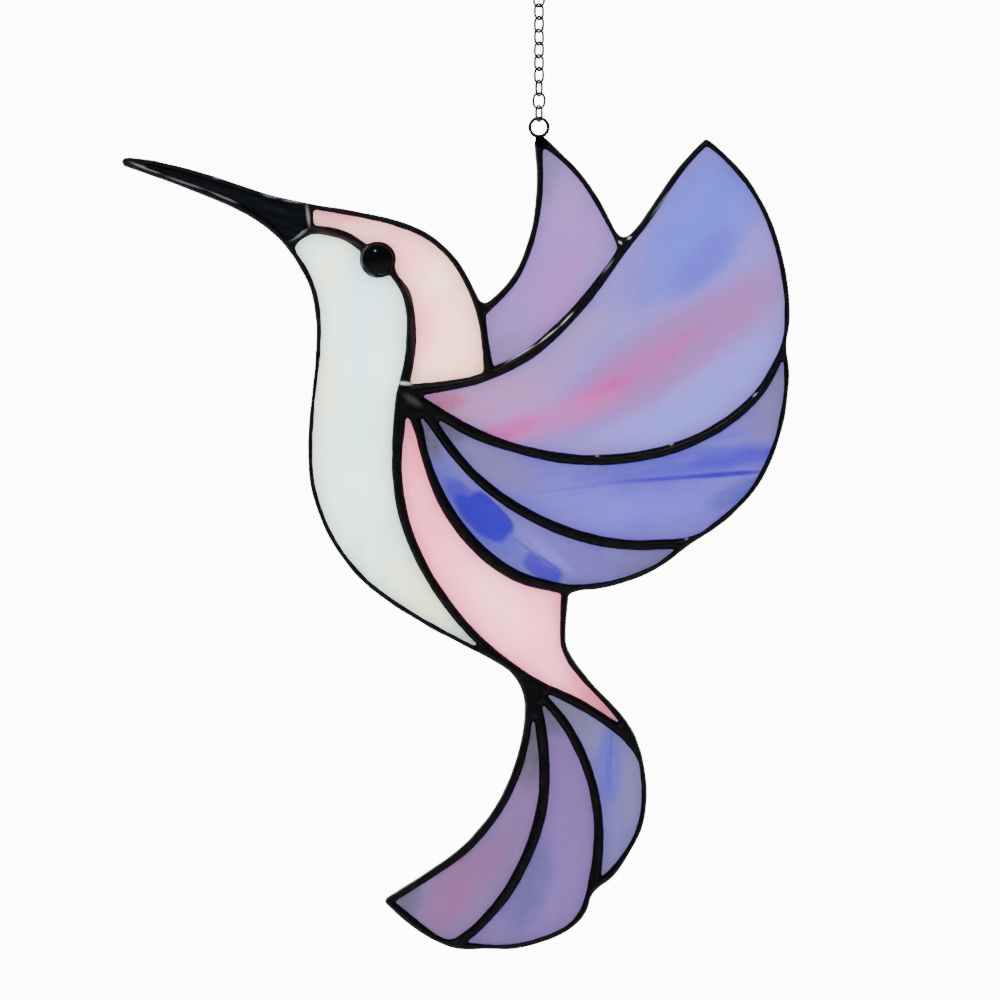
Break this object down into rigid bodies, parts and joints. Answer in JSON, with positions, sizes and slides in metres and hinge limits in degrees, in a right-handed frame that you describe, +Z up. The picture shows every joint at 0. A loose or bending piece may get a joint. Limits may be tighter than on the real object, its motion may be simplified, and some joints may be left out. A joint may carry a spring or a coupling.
{
  "type": "hanging suncatcher",
  "caption": "Hummingbird suncatcher of streaky acrylic panes held in black solder seams, with a ring, a fine chain and a hanging loop above its rear wing.",
  "frame": {"origin": "inner top of the hanging loop, the point that a hook or nail carries", "axes": "+Z up along the chain, with the bird flat in the XZ plane, its front facing -Y and its beak towards -X"},
  "size_m": [0.1732, 0.0068, 0.2622],
  "materials": {
    "black_solder": "satin black patina on hand-run solder",
    "black_acrylic": "polished",
    "white_acrylic": "milky and translucent, with faint streaks",
    "pale_pink_acrylic": "milky and translucent, with fine specks",
    "pink_acrylic": "milky and translucent, with faint streaks",
    "lilac_acrylic": "translucent, with faint streaks",
    "blue_pink_acrylic": "translucent, with blue and pink streaks",
    "blue_lilac_acrylic": "translucent, with deep blue streaks",
    "deep_blue_acrylic": "translucent, with a deep blue patch",
    "purple_acrylic": "translucent, with pink and purple streaks",
    "violet_acrylic": "translucent, with lilac and blue streaks",
    "periwinkle_acrylic": "translucent, with blue streaks",
    "black_gem": "polished dome",
    "black_wire": "blackened wire",
    "dark_steel": "darkened steel wire"
  },
  "bodies": {
    "root": {"solder_frame": "black_solder", "beak_pane": "black_acrylic", "breast_pane": "white_acrylic", "crown_pane": "pale_pink_acrylic", "back_pane": "pink_acrylic", "rear_wing_pane": "lilac_acrylic", "upper_feather_pane": "blue_pink_acrylic", "middle_feather_pane": "blue_lilac_acrylic", "lower_feather_pane": "deep_blue_acrylic", "tail_left_pane": "purple_acrylic", "tail_middle_pane": "violet_acrylic", "tail_right_pane": "periwinkle_acrylic", "eye_gem": "black_gem", "wing_ring": "black_wire", "chain_link_01": "dark_steel", "chain_link_02": "dark_steel", "chain_link_03": "dark_steel", "chain_link_04": "dark_steel", "chain_link_05": "dark_steel", "chain_link_06": "dark_steel", "chain_link_07": "dark_steel", "chain_link_08": "dark_steel", "chain_link_09": "dark_steel", "chain_link_10": "dark_steel", "chain_link_11": "dark_steel", "hanging_loop": "dark_steel"}
  },
  "joints": []
}
